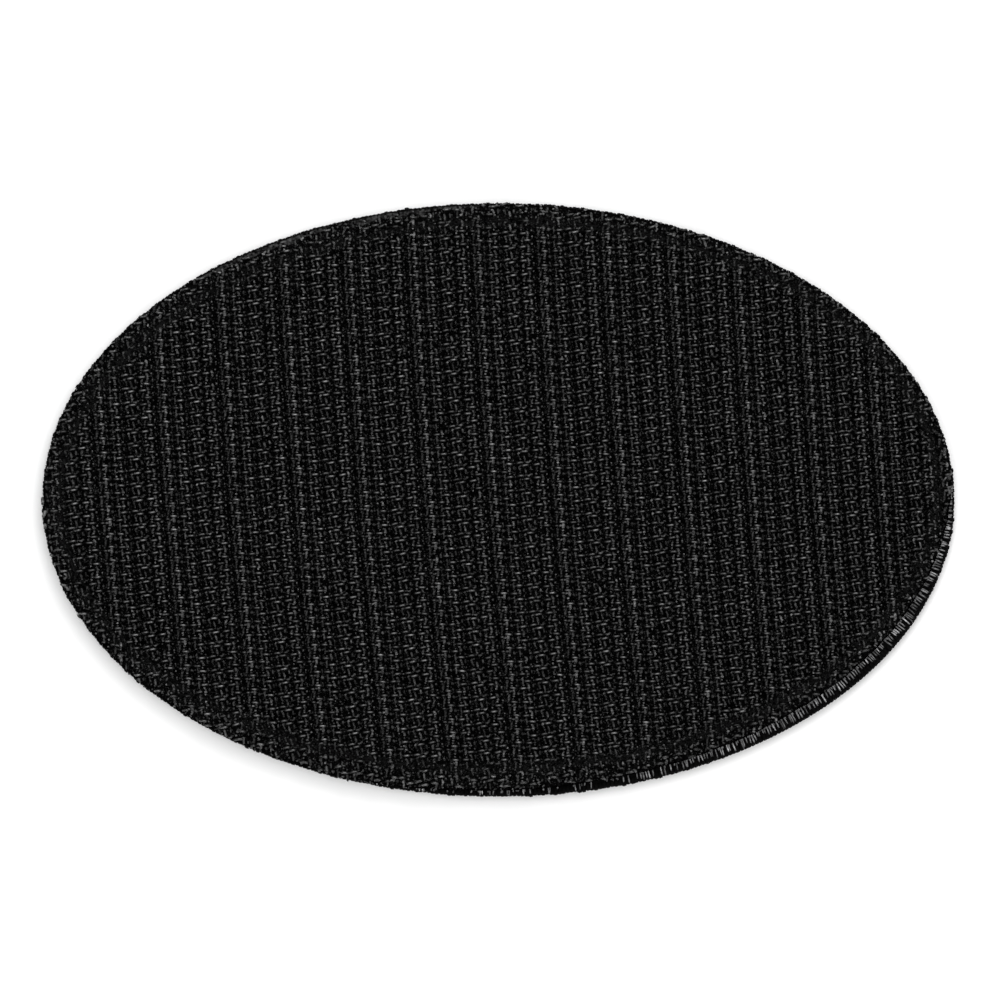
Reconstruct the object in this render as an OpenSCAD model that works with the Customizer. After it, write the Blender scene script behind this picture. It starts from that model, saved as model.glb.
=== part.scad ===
// Oval clothing patch with a hook tape back, lying on its front with the hooks up.
// The origin is under the middle of the patch, on the surface that it lies on.
// +X runs along the patch, +Y across it and +Z up through the hooks.

/* [Patch] */
// Length of the patch from end to end
patch_length = 89; // [70:1:110]
// Width of the patch across its middle
patch_width = 57.9; // [45:0.1:75]

/* [Border] */
// Width of the stitched border
border_width = 3.2; // [2:0.1:4.5]
// Thickness of the stitched border from front to back
border_thickness = 1.6; // [1.2:0.1:2.4]
// How far the border stands proud of the face on the front
border_relief = 0.3; // [0.1:0.05:0.5]

/* [Hook tape] */
// Thickness of the tape's ground cloth
ground_thickness = 0.7; // [0.5:0.05:1]
// Height of the hooks above the ground cloth
hook_height = 1.1; // [0.8:0.05:1.6]
// Distance from the middle of one row of hooks to the next
row_pitch = 1.57; // [1.4:0.01:2.4]
// Width of a row of hooks at its foot
row_foot = 1.25; // [0.9:0.05:1.3]
// Width of a row of hooks across its tips
row_top = 1; // [0.5:0.05:1.1]
// Lean of the rows to the left, in degrees
row_lean = 4.5; // [0:0.5:12]
// Distance of the middle row from the middle of the patch
row_offset = -0.44; // [-0.7:0.01:0.7]

/* [Tape edge] */
// Least distance of the tape's edge from the patch's edge
edge_inset = 0.15; // [0.1:0.05:0.6]
// Width of border that the tape leaves bare, where it leaves the most
bare_width = 1.1; // [0:0.1:1.2]
// Direction in which the border is bare, in degrees from +X
bare_direction = -48; // [-180:1:180]
// Angle on each side of that direction over which the bare border fades out
bare_spread = 55; // [30:1:90]

/* [Seam] */
// Distance of the seam from the patch's edge at its two ends
seam_end_inset = 1.66; // [1.6:0.01:3]
// Distance of the seam from the patch's edge at its long sides
seam_side_inset = 2.18; // [2.1:0.01:3.5]
// How far the seam as a whole sits towards the upper side
seam_shift = 0.48; // [0:0.01:0.5]
// Turn of the seam to the left, in degrees
seam_turn = 1.3; // [-1.5:0.1:1.5]
// Width of the groove in which the seam holds the hooks down
groove_width = 0.75; // [0.5:0.05:1]
// Depth of the groove below the top of the ground cloth
groove_sink = 0.15; // [0.05:0.05:0.3]

/* [Hidden] */

// Clearance between one piece and the next
gap = 0.05;
// Number of sides that the oval outlines are drawn with
oval_sides = 128;
// Number of sections along the border, and of sides round each section
border_sections = 96;
bead_sides = 12;
// How square the border's section is: 1 is round, and less is squarer
bead_roundness = 0.6;

half_length = patch_length / 2;
half_width = patch_width / 2;
tape_base = border_thickness + gap;
ground_top = ground_thickness;
hook_top = ground_thickness + hook_height;
// Rows on each side of the middle one, enough to run past both ends
row_count = ceil(half_length / row_pitch) + 3;
// Length that each row has before the outline cuts it
row_length = patch_width * 1.2;

// Columns of a point on the border's section
INSET = 0;
RISE = 1;

// Colours of the pieces
face_colour = [0.06, 0.06, 0.065];
border_colour = [0.12, 0.12, 0.125];
tape_colour = [0.04, 0.04, 0.045];

// A number raised to a power, with its sign kept
function signed_power(value, power) = sign(value) * pow(abs(value), power);

// Direction that is square to the oval's edge at a turn of the oval
function edge_normal(turn) =
    let (across = [half_width * cos(turn), half_length * sin(turn)])
    across / norm(across);

// Point that lies a distance in from the oval's edge
function oval_point(turn, inset) =
    [half_length * cos(turn), half_width * sin(turn)] - inset * edge_normal(turn);

// Outline that keeps the same distance from the oval's edge all round
function oval_outline(inset) =
    [for (side = [0 : oval_sides - 1]) oval_point(side * 360 / oval_sides, inset)];

// How much of the border the tape leaves bare at a turn of the oval
function bare_border(turn) =
    let (facing = edge_normal(turn) * [cos(bare_direction), sin(bare_direction)])
    bare_width * max(0, (facing - cos(bare_spread)) / (1 - cos(bare_spread)));

// Outline of the tape, which falls short of the border on one side
function tape_outline() =
    [
        for (side = [0 : oval_sides - 1])
            let (turn = side * 360 / oval_sides)
            oval_point(turn, edge_inset + bare_border(turn))
    ];

// Outline of one side of the seam's groove, a distance out from the line of stitches
function groove_outline(out) =
    [
        for (side = [0 : oval_sides - 1])
            let (turn = side * 360 / oval_sides)
            [
                (half_length - seam_end_inset + out) * cos(turn),
                (half_width - seam_side_inset + out) * sin(turn)
            ]
    ];

// How far out of the section's middle a corner lies, from -1 to 1, so that its flats touch both ends
function bead_reach(share) = signed_power(share / cos(180 / bead_sides), bead_roundness);

// Point on the border's rounded section: its distance in from the edge and its height
function bead_point(turn) =
    [
        border_width / 2 * (1 - bead_reach(cos(turn))),
        border_thickness / 2 * (1 + bead_reach(sin(turn)))
    ];

// Place of a corner of one section in the list of corners, counted round and round
function corner(section, side) =
    (section % border_sections) * bead_sides + side % bead_sides;

// Woven face of the patch, lying with its front down inside the border
module patch_face() {
    color(face_colour)
    translate([0, 0, border_relief])
    linear_extrude(border_thickness - border_relief)
    polygon(oval_outline(border_width + gap));
}

// Stitched border that binds the edge of the face all round
module edge_border() {
    corners = [
        for (section = [0 : border_sections - 1], side = [0 : bead_sides - 1])
            let (
                bead = bead_point((side + 0.5) * 360 / bead_sides),
                place = oval_point(section * 360 / border_sections, bead[INSET])
            )
            [place.x, place.y, bead[RISE]]
    ];
    faces = [
        for (section = [0 : border_sections - 1], side = [0 : bead_sides - 1])
            [
                corner(section, side),
                corner(section, side + 1),
                corner(section + 1, side + 1),
                corner(section + 1, side)
            ]
    ];
    color(border_colour)
    polyhedron(points = corners, faces = faces, convexity = 4);
}

// One row of hooks, which narrows from its foot to its tips
module hook_row() {
    rotate([90, 0, 0])
    linear_extrude(row_length, center = true)
    polygon([
        [-row_foot / 2, 0],
        [row_foot / 2, 0],
        [row_foot / 2, ground_top],
        [row_top / 2, hook_top],
        [-row_top / 2, hook_top],
        [-row_foot / 2, ground_top]
    ]);
}

// Rows of hooks side by side, leaning to the left
module hook_rows() {
    translate([row_offset, 0, 0])
    rotate([0, 0, row_lean])
    for (row = [-row_count : row_count])
        translate([row * row_pitch, 0, 0])
        hook_row();
}

// Ground cloth with the rows of hooks, cut to the tape's outline
module tape_blank() {
    intersection() {
        linear_extrude(hook_top)
        polygon(tape_outline());
        union() {
            translate([-patch_length, -patch_width, 0])
            cube([2 * patch_length, 2 * patch_width, ground_top]);
            hook_rows();
        }
    }
}

// Groove that the seam presses into the hooks
module seam_groove() {
    translate([0, seam_shift, ground_top - groove_sink])
    rotate([0, 0, seam_turn])
    linear_extrude(hook_height + 2 * groove_sink)
    difference() {
        polygon(groove_outline(groove_width / 2));
        polygon(groove_outline(-groove_width / 2));
    }
}

// Hook tape sewn to the back of the patch
module hook_tape() {
    color(tape_colour)
    translate([0, 0, tape_base])
    difference() {
        tape_blank();
        seam_groove();
    }
}

patch_face();
edge_border();
hook_tape();
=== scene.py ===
"""Oval clothing patch that lies on its front, with the woven hook tape on its back in view.

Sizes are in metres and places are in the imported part's frame: +X runs along the patch, +Y across it and
+Z up through the hooks. The weave is laid out in warp columns to the right and picks down, from one
charted repeat.
"""

import math
from collections import namedtuple

import bpy
import numpy as np
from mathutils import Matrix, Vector


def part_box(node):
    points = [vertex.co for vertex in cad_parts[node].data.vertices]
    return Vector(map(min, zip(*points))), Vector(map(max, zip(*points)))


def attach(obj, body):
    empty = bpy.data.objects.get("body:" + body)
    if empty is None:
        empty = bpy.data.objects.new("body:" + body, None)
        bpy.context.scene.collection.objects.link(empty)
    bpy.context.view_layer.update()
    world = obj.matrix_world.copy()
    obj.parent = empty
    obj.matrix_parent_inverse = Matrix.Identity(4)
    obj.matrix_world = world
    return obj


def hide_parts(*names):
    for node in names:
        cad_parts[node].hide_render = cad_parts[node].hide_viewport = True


bl_info = {
    "name": "Hook-backed clothing patch",
    "version": (1, 0, 0),
    "blender": (4, 5, 0),
    "location": "View3D > Sidebar > Patch",
    "description": "Builds the weave, hooks, seam, border and face of an oval clothing patch",
    "category": "Add Mesh",
}

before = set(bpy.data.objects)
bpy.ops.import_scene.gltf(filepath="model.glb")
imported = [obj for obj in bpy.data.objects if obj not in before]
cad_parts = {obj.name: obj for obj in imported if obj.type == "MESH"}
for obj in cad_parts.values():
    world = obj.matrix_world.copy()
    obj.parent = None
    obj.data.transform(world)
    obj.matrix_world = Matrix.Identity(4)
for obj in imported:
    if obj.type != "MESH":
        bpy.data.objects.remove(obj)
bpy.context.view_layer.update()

MM = 0.001
BODY = "root"
RANDOM_SEED = 41

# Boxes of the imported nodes, which give the patch's main dimensions
border_low, border_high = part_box("edge_border")
tape_low, tape_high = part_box("hook_tape")
face_low, face_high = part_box("patch_face")
HALF_LENGTH = border_high.x
HALF_WIDTH = border_high.y
BORDER_HEIGHT = border_high.z - border_low.z

# Sizes that the part's source names too
BORDER_WIDTH = 3.2 * MM
GROUND_THICKNESS = 0.7 * MM
EDGE_INSET = 0.15 * MM
BARE_WIDTH = 1.1 * MM
BARE_DIRECTION = math.radians(-48)
BARE_SPREAD = math.radians(55)
SEAM_END_INSET = 1.66 * MM
SEAM_SIDE_INSET = 2.18 * MM
SEAM_SHIFT = 0.48 * MM
SEAM_TURN = math.radians(1.3)

# Where the tape's cut has melted together and how far it drew back there, and how far the yarns splay past
# the cut elsewhere
MELTED_DIRECTION = math.radians(106)
MELTED_SPREAD = math.radians(16)
MELTED_BACK = 0.2 * MM
SPLAY = 0.2 * MM

# Lattice of the weave: the first column's place, the steps from one thread to the next, how they lean, and
# how far the columns bow over the width that they reach from the middle
FIRST_COLUMN_X = -1.754 * MM
FIRST_PICK_Y = -0.06 * MM
COLUMN_STEP = 0.525 * MM
PICK_STEP = 0.4418 * MM
ROW_RISE = math.radians(3.15)
COLUMN_LEAN = math.radians(4.56)
COLUMN_BOW = 0.25 * MM
BOW_REACH = 21 * MM
BOW_MIDDLE = 0.3
REPEAT_COLUMNS = 12
REPEAT_PICKS = 3

# Distances from the seam over which the threads rise free of it, inside and outside it, how free they ever
# get outside it, and the distances over which they work loose there
FREE_INSIDE = (0.15 * MM, 0.85 * MM)
FREE_OUTSIDE = (0.15 * MM, 0.7 * MM)
FREEST_OUTSIDE = 0.8
LOOSE_OUTSIDE = (0.1 * MM, 0.6 * MM)

# Painted highlight of the hooks and paleness of the yarns in the middle of the tape, and how far the painted
# highlight falls and the paleness rises from there to the right end: the hooks are painted brighter and
# glossier towards the left end, where the light catches their crowns more
PAINTED_HOOK_HIGHLIGHT, HOOK_HIGHLIGHT_FALL = 0.93, 0.2
YARN_PALENESS, PALENESS_RISE = 1.07, 0.08

SEAM_HALF_LENGTH = HALF_LENGTH - SEAM_END_INSET
SEAM_HALF_WIDTH = HALF_WIDTH - SEAM_SIDE_INSET
GROUND_TOP = tape_low.z + GROUND_THICKNESS
HOOK_HEIGHT = tape_high.z - GROUND_TOP

Hook = namedtuple("Hook", "name column pick turn side foot_column foot_pick span height bend tone")
Float = namedtuple("Float", "name width lift tone path")
Edge = namedtuple("Edge", "places normals")

# Hooks of one repeat: column and pick of the crown, its turn in degrees from the row, the side that it
# arches to, the column and pick of its foot, its span and height as shares of the full hook, the bend of
# its crown towards the row above, and its tone
HOOK_CHART = (
    Hook("first_left", -0.01, 0.29, -2, -1, 0.72, 0.05, 0.98, 1.0, 0.0, 0.75),
    Hook("first_right", 1.94, 0.46, -6, 1, 1.5, 0.7, 0.5, 0.55, 0.0, 0.3),
    Hook("second_left", 3.05, 2.77, -7, -1, 3.72, 2.55, 0.98, 0.98, 0.0, 0.9),
    Hook("second_right", 5.05, 2.93, -3, 1, 4.4, 3.15, 0.92, 0.9, 0.0, 0.58),
    Hook("third_left", 5.97, 1.31, -2, -1, 6.64, 1.1, 0.95, 1.0, 0.0, 0.87),
    Hook("third_right", 8.05, 1.18, 3, 1, 7.4, 1.6, 1.08, 0.92, 0.06, 0.56),
    Hook("fourth_left", 8.95, 1.8, 4, -1, 9.4, 1.75, 1.0, 1.0, 0.0, 1.0),
    Hook("fourth_right", 11.12, 1.63, 3, 1, 10.45, 1.85, 1.04, 0.97, 0.0, 0.77),
)

# Floats of one repeat: width and lift in millimetres, tone, and the columns and picks of each one's course
FLOAT_CHART = (
    Float("edge_head", 0.27, 0.30, 0.9, ((-0.12, 0.85), (0.06, 1.35), (0.15, 1.92))),
    Float("edge_run", 0.26, 0.30, 0.72, ((0.12, 1.85), (0.08, 2.12), (0.02, 2.46))),
    Float("edge_arm", 0.18, 0.22, 0.5, ((0.15, 1.5), (0.45, 1.62))),
    Float("edge_knot", 0.24, 0.27, 1.2, ((-0.35, 2.65), (0.2, 2.67))),
    Float("first_dot", 0.24, 0.34, 1.02, ((0.81, 0.78), (0.83, 1.14))),
    Float("second_dot", 0.22, 0.3, 0.8, ((0.93, 2.12), (0.93, 2.5))),
    Float("second_tail", 0.20, 0.2, 0.35, ((0.93, 2.62), (0.96, 2.95))),
    Float("long_pick", 0.20, 0.30, 0.95, ((2.16, 0.74), (2.42, 0.59), (2.8, 0.55), (3.18, 0.68))),
    Float("fork_left", 0.24, 0.17, 0.38, ((2.04, 0.74), (1.86, 1.4))),
    Float("fork_haze", 0.26, 0.05, 0.07, ((1.3, 2.25), (1.7, 2.8))),
    Float("fork_foot", 0.20, 0.2, 0.35, ((1.96, 2.6), (1.72, 2.98))),
    Float("fork_right", 0.26, 0.22, 0.26, ((2.4, 0.82), (2.2, 1.26), (2.02, 1.75), (2.0, 2.3), (1.8, 2.78))),
    Float("second_run", 0.32, 0.34, 1.0, ((3.16, -0.2), (3.12, 0.35), (3.1, 0.85), (2.98, 1.36))),
    Float("second_knot_a", 0.23, 0.34, 1.3, ((2.69, 1.61), (3.16, 1.57))),
    Float("second_knot_b", 0.23, 0.34, 1.12, ((2.64, 2.23), (3.1, 2.18))),
    Float("deep_knot_a", 0.34, 0.16, 0.37, ((3.74, 0.76), (3.88, 0.94), (4.06, 1.24))),
    Float("deep_arm", 0.20, 0.12, 0.16, ((4.15, 0.96), (4.7, 0.96))),
    Float("deep_knot_b", 0.22, 0.14, 0.46, ((3.84, 2.04), (3.87, 2.7), (3.9, 3.2))),
    Float("third_head", 0.20, 0.26, 0.42, ((5.0, 0.58), (4.96, 0.95))),
    Float("third_run", 0.23, 0.26, 0.5, ((5.18, 0.24), (4.88, 0.85), (5.03, 1.3), (4.9, 1.8), (4.95, 2.24))),
    Float("third_arm", 0.17, 0.22, 0.5, ((5.05, 1.38), (5.5, 1.36))),
    Float("third_knot", 0.20, 0.26, 1.0, ((4.88, 2.36), (5.24, 2.42))),
    Float("fourth_knot", 0.22, 0.24, 1.0, ((5.93, 0.25), (5.95, 0.6))),
    Float("fourth_head", 0.25, 0.32, 1.12, ((5.6, 2.06), (6.1, 2.18))),
    Float("fourth_run", 0.23, 0.28, 0.8, ((5.76, 2.05), (5.95, 2.3), (6.02, 2.6), (6.04, 3.0))),
    Float("fourth_foot", 0.24, 0.32, 1.2, ((5.66, 2.9), (6.4, 2.96))),
    Float("fifth_knot", 0.24, 0.26, 0.45, ((6.74, 0.53), (6.8, 0.91))),
    Float("fifth_link", 0.16, 0.26, 0.85, ((6.62, 1.24), (7.36, 1.32))),
    Float("fifth_run", 0.24, 0.15, 0.33, ((6.84, 1.82), (6.8, 2.3), (6.82, 2.85))),
    Float("fifth_haze", 0.22, 0.08, 0.2, ((7.0, 2.35), (7.4, 2.0))),
    Float("sixth_head", 0.27, 0.32, 1.05, ((7.66, 2.26), (8.1, 1.8))),
    Float("sixth_arm", 0.17, 0.24, 0.5, ((8.05, 1.84), (8.5, 1.9))),
    Float("sixth_run", 0.22, 0.2, 0.38, ((7.8, 2.1), (7.9, 2.5), (8.0, 2.8), (8.06, 3.1))),
    Float("sixth_knot", 0.24, 0.26, 0.62, ((8.0, 3.14), (8.1, 3.42))),
    Float(
        "seventh_run", 0.25, 0.32, 0.68, ((8.77, 2.28), (8.88, 2.8), (8.96, 3.3), (9.0, 3.6), (9.08, 3.96))
    ),
    Float(
        "seventh_turn",
        0.22,
        0.28,
        0.7,
        ((9.11, 3.86), (9.27, 4.08), (9.56, 4.14), (9.78, 3.99), (9.9, 3.74)),
    ),
    Float("seventh_root", 0.20, 0.24, 0.45, ((8.7, 4.12), (9.04, 3.8))),
    Float("seventh_fan", 0.24, 0.18, 0.3, ((9.65, 3.7), (10.25, 3.92))),
    Float("seventh_knot", 0.24, 0.2, 0.52, ((9.82, 2.05), (9.86, 2.45), (9.84, 3.02))),
    Float("seventh_arm", 0.16, 0.14, 0.28, ((9.95, 2.76), (10.4, 2.78))),
    Float("eighth_knot", 0.24, 0.26, 1.0, ((10.87, 0.6), (10.93, 0.98))),
    Float("eighth_run", 0.24, 0.26, 0.62, ((11.3, 2.2), (11.0, 2.62), (10.91, 3.1))),
    Float("eighth_foot", 0.22, 0.30, 1.06, ((10.72, 3.05), (11.28, 3.2))),
)

# Side view of a hook from its foot over its crown to its cut tip: the share of the way in from the foot, how
# far along in radii of its arch, the share of its height, how far below that in radii, and its tone, which
# is painted light: painted shade on the steep legs and a painted highlight on the crown
HOOK_PROFILE = (
    (1.00, 0.00, -0.10, 0.00, 0.05),
    (0.35, 0.78, 0.48, 0.00, 0.05),
    (0.04, 1.00, 1.00, 0.92, 0.15),
    (0.00, 0.84, 1.00, 0.38, 0.50),
    (0.00, 0.58, 1.00, 0.07, 1.00),
    (0.00, 0.30, 1.00, 0.01, 1.00),
    (0.00, -0.30, 1.00, 0.01, 1.00),
    (0.00, -0.58, 1.00, 0.07, 1.00),
    (0.00, -0.86, 1.00, 0.42, 0.50),
)


# Property groups


def length_property(label, description, value):
    """Length setting with its name, description and default."""
    return bpy.props.FloatProperty(
        name=label, description=description, default=value, precision=5, unit="LENGTH"
    )


def colour_property(label, description, value):
    """Colour setting with its name, description and default."""
    return bpy.props.FloatVectorProperty(
        name=label,
        description=description,
        default=(*value, 1.0),
        size=4,
        subtype="COLOR",
        min=0.0,
        max=1.0,
    )


class PatchSizes(bpy.types.PropertyGroup):
    """Sizes of the threads that the patch is made of."""

    strand: length_property(
        "Hook strand", "Thickness of the single strand that the hooks are made of", 0.24 * MM
    )
    arch_radius: length_property(
        "Hook arch", "Radius of the arch that a hook makes, to the middle of its strand", 0.325 * MM
    )
    stitch_length: length_property("Stitch length", "Length of one stitch of the seam", 2.8 * MM)
    border_pitch: length_property(
        "Border thread pitch", "Distance from one thread of the border to the next", 0.40 * MM
    )
    twill_pitch: length_property(
        "Twill rib pitch", "Distance from one rib of the face cloth to the next", 0.55 * MM
    )


class PatchColours(bpy.types.PropertyGroup):
    """Colours of the patch's threads and of the floor."""

    nylon: colour_property("Hook nylon", "Colour of the hooks' single strand", (0.021, 0.021, 0.021))
    yarn: colour_property(
        "Warp yarn", "Colour of the yarns that run over the tape's ground", (0.042, 0.042, 0.042)
    )
    # The ground cloth's colour is painted shade, far darker than the yarns of the same black, for the deep
    # gaps under the hooks and yarns
    ground: colour_property("Ground cloth", "Colour of the tape's ground cloth", (0.0008, 0.0008, 0.0008))
    melted: colour_property(
        "Melted edge", "Colour of the tape's edge where its cut has melted", (0.0165, 0.0165, 0.0165)
    )
    seam: colour_property("Seam thread", "Colour of the thread that holds the tape", (0.002, 0.002, 0.002))
    # The border thread's colour is painted shade, far darker than black thread; the wraps' tones lift it on
    # the wall and the front
    border: colour_property(
        "Border thread", "Colour of the thread round the edge", (0.0007, 0.0007, 0.0007)
    )
    bobbin: colour_property("Bobbin thread", "Colour of the thread on the border's back", (0.2, 0.2, 0.203))
    face: colour_property("Face cloth", "Colour of the face's twill", (0.012, 0.012, 0.013))
    floor: colour_property("Floor", "Colour of the floor", (0.86, 0.86, 0.86))


# Places on the patch


def smooth_step(value, low, high):
    """0 below low, 1 above high and a smooth rise between."""
    share = np.clip((value - low) / (high - low), 0, 1)
    return share * share * (3 - 2 * share)


def unit(vectors):
    """Vectors of length 1 in the same directions."""
    return vectors / (np.linalg.norm(vectors, axis=-1, keepdims=True) + 1e-12)


def edge_depth(x, y, half_length, half_width):
    """Distance in from an oval's edge, and the direction square to that edge."""
    along, across = x / half_length, y / half_width
    reach = np.sqrt(along**2 + across**2) + 1e-9
    slope_x, slope_y = along / half_length / reach, across / half_width / reach
    slope = np.hypot(slope_x, slope_y)
    return (1 - reach) / slope, slope_x / slope, slope_y / slope


def oval_edge(turn):
    """Points on the patch's edge at some turns of its oval, and the direction square to it at each."""
    rim = np.stack([HALF_LENGTH * np.cos(turn), HALF_WIDTH * np.sin(turn)], axis=1)
    return rim, unit(np.stack([HALF_WIDTH * np.cos(turn), HALF_LENGTH * np.sin(turn)], axis=1))


def oval_travel(half_length, half_width):
    """Turns of an oval and the distance travelled round it up to each."""
    turn = np.linspace(0, 2 * math.pi, 8001)
    x, y = half_length * np.cos(turn), half_width * np.sin(turn)
    return turn, np.concatenate([[0], np.cumsum(np.hypot(np.diff(x), np.diff(y)))])


def facing(normal_x, normal_y, direction):
    """How squarely an edge faces a direction, from -1 to 1."""
    return normal_x * math.cos(direction) + normal_y * math.sin(direction)


def bare_border(normal_x, normal_y):
    """Width of border that the tape leaves bare on the side that an edge faces."""
    limit = math.cos(BARE_SPREAD)
    return BARE_WIDTH * np.maximum(0, (facing(normal_x, normal_y, BARE_DIRECTION) - limit) / (1 - limit))


def melted_share(normal_x, normal_y):
    """How far the cut has melted on the side that an edge faces, from 0 to 1."""
    limit = math.cos(MELTED_SPREAD)
    return smooth_step(facing(normal_x, normal_y, MELTED_DIRECTION), limit, 1.0 - 0.4 * (1 - limit))


def tape_depth(x, y):
    """Distance in from the ends of the tape's threads, which splay past its cut unless they have melted."""
    depth, normal_x, normal_y = edge_depth(x, y, HALF_LENGTH, HALF_WIDTH)
    bare = bare_border(normal_x, normal_y)
    melted = melted_share(normal_x, normal_y)
    splay = SPLAY * (1 - smooth_step(bare, 0, 0.3 * BARE_WIDTH)) * (1 - 0.6 * melted)
    return depth - EDGE_INSET - bare - MELTED_BACK * melted + splay


def seam_frame(x, y):
    """Places seen from the middle of the seam's oval, along it and across it."""
    y = y - SEAM_SHIFT
    along = x * math.cos(SEAM_TURN) + y * math.sin(SEAM_TURN)
    return along, y * math.cos(SEAM_TURN) - x * math.sin(SEAM_TURN)


def seam_distance(x, y):
    """Distance from the line of stitches, positive inside it."""
    return edge_depth(*seam_frame(x, y), SEAM_HALF_LENGTH, SEAM_HALF_WIDTH)[0]


def needle_distance(x, y, stitch_length):
    """Distance from the nearest hole that the needle left in the tape."""
    turns, travel = oval_travel(SEAM_HALF_LENGTH, SEAM_HALF_WIDTH)
    along, across = seam_frame(x, y)
    turn = np.arctan2(across / SEAM_HALF_WIDTH, along / SEAM_HALF_LENGTH) % (2 * math.pi)
    stitches = np.interp(turn, turns, travel) * round(travel[-1] / stitch_length) / travel[-1]
    beside = np.abs(stitches - np.round(stitches)) * stitch_length
    return np.hypot(beside, seam_distance(x, y))


def free_share(x, y):
    """How free the tape stands of the seam that holds it down, from 0 on the seam to 1 well inside it."""
    distance = seam_distance(x, y)
    inside = smooth_step(distance, *FREE_INSIDE)
    outside = FREEST_OUTSIDE * smooth_step(-distance, *FREE_OUTSIDE)
    return np.where(distance > 0, inside, outside)


def loose_share(x, y):
    """How far the tape's threads have worked loose beyond the seam, from 0 to 1."""
    return smooth_step(-seam_distance(x, y), *LOOSE_OUTSIDE)


def weave_place(column, pick):
    """Place on the tape of a column and a pick, which may be arrays."""
    across, down = column * COLUMN_STEP, pick * PICK_STEP
    x = FIRST_COLUMN_X + across * math.cos(ROW_RISE) + down * math.sin(COLUMN_LEAN)
    y = FIRST_PICK_Y + across * math.sin(ROW_RISE) - down * math.cos(COLUMN_LEAN)
    return x + COLUMN_BOW * ((y / BOW_REACH) ** 2 - BOW_MIDDLE), y


def repeat_corners():
    """Columns and picks of the first corner of every repeat that the tape may touch."""
    across = int(HALF_LENGTH / COLUMN_STEP / REPEAT_COLUMNS) + 3
    down = int(HALF_WIDTH / PICK_STEP / REPEAT_PICKS) + 3
    columns, picks = np.meshgrid(np.arange(-across, across + 1), np.arange(-down, down + 1))
    return columns.ravel() * REPEAT_COLUMNS, picks.ravel() * REPEAT_PICKS


# Shapes shared by the pieces


def smooth_path(points, count):
    """Points spread evenly along the smooth curve through a few given ones."""
    points = np.asarray(points, float)
    padded = np.vstack([2 * points[0] - points[1], points, 2 * points[-1] - points[-2]])
    fine = []
    for i in range(len(points) - 1):
        before, start, end, after = padded[i : i + 4]
        t = np.linspace(0, 1, 12, endpoint=i == len(points) - 2)[:, None]
        bend = 2 * before - 5 * start + 4 * end - after
        twist = 3 * start - before - 3 * end + after
        fine.append(0.5 * (2 * start + (end - before) * t + bend * t**2 + twist * t**3))
    fine = np.vstack(fine)
    travel = np.concatenate([[0], np.cumsum(np.linalg.norm(np.diff(fine, axis=0), axis=1))])
    stops = np.linspace(0, travel[-1], count)
    return np.stack([np.interp(stops, travel, fine[:, k]) for k in range(fine.shape[1])], axis=1)


def grid_faces(rows, columns, closed_rows=False, closed_columns=False):
    """Faces between the neighbours in a grid of points that is counted row by row."""
    row, column = np.meshgrid(
        np.arange(rows - (not closed_rows)), np.arange(columns - (not closed_columns)), indexing="ij"
    )
    next_row, next_column = (row + 1) % rows, (column + 1) % columns
    corners = ((row, column), (row, next_column), (next_row, next_column), (next_row, column))
    return np.stack([down * columns + along for down, along in corners], axis=-1).reshape(-1, 4)


def new_object(name, points, face_groups, corner_uvs=None, tones=None):
    """Mesh object from an array of points and arrays of faces, each with its own number of corners."""
    mesh = bpy.data.meshes.new(name)
    mesh.vertices.add(len(points))
    mesh.vertices.foreach_set("co", np.asarray(points, np.float32).ravel())
    corners = np.concatenate([group.ravel() for group in face_groups]).astype(np.int32)
    sizes = np.concatenate([np.full(len(group), group.shape[1]) for group in face_groups])
    mesh.loops.add(len(corners))
    mesh.loops.foreach_set("vertex_index", corners)
    mesh.polygons.add(len(sizes))
    mesh.polygons.foreach_set("loop_start", (np.cumsum(sizes) - sizes).astype(np.int32))
    mesh.polygons.foreach_set("use_smooth", np.ones(len(sizes), bool))
    if corner_uvs is not None:
        layer = mesh.uv_layers.new(name="thread")
        layer.uv.foreach_set("vector", np.asarray(corner_uvs, np.float32).ravel())
    if tones is not None:
        attribute = mesh.attributes.new("tone", "FLOAT", "POINT")
        attribute.data.foreach_set("value", np.asarray(tones, np.float32))
    mesh.update(calc_edges=True)
    piece = bpy.data.objects.new(name, mesh)
    bpy.context.scene.collection.objects.link(piece)
    return piece


def thread_skin(paths, half_widths, half_heights, sides, across):
    """Points of threads with an oval section: threads by rings by sides by 3."""
    tangents = unit(np.gradient(paths, axis=1))
    if across is None:
        across = unit(np.cross(tangents, (0.0, 0.0, 1.0)))
    else:
        across = np.broadcast_to(np.asarray(across)[:, None, :], paths.shape)
        across = unit(across - tangents * (across * tangents).sum(axis=-1, keepdims=True))
    upward = unit(np.cross(across, tangents))
    turn = (np.arange(sides) + 0.5) * 2 * math.pi / sides
    wide = np.broadcast_to(half_widths, paths.shape[:2])[..., None, None]
    high = np.broadcast_to(half_heights, paths.shape[:2])[..., None, None]
    around = np.cos(turn)[None, None, :, None] * wide * across[:, :, None, :]
    over = np.sin(turn)[None, None, :, None] * high * upward[:, :, None, :]
    return paths[:, :, None, :] + around + over


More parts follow.
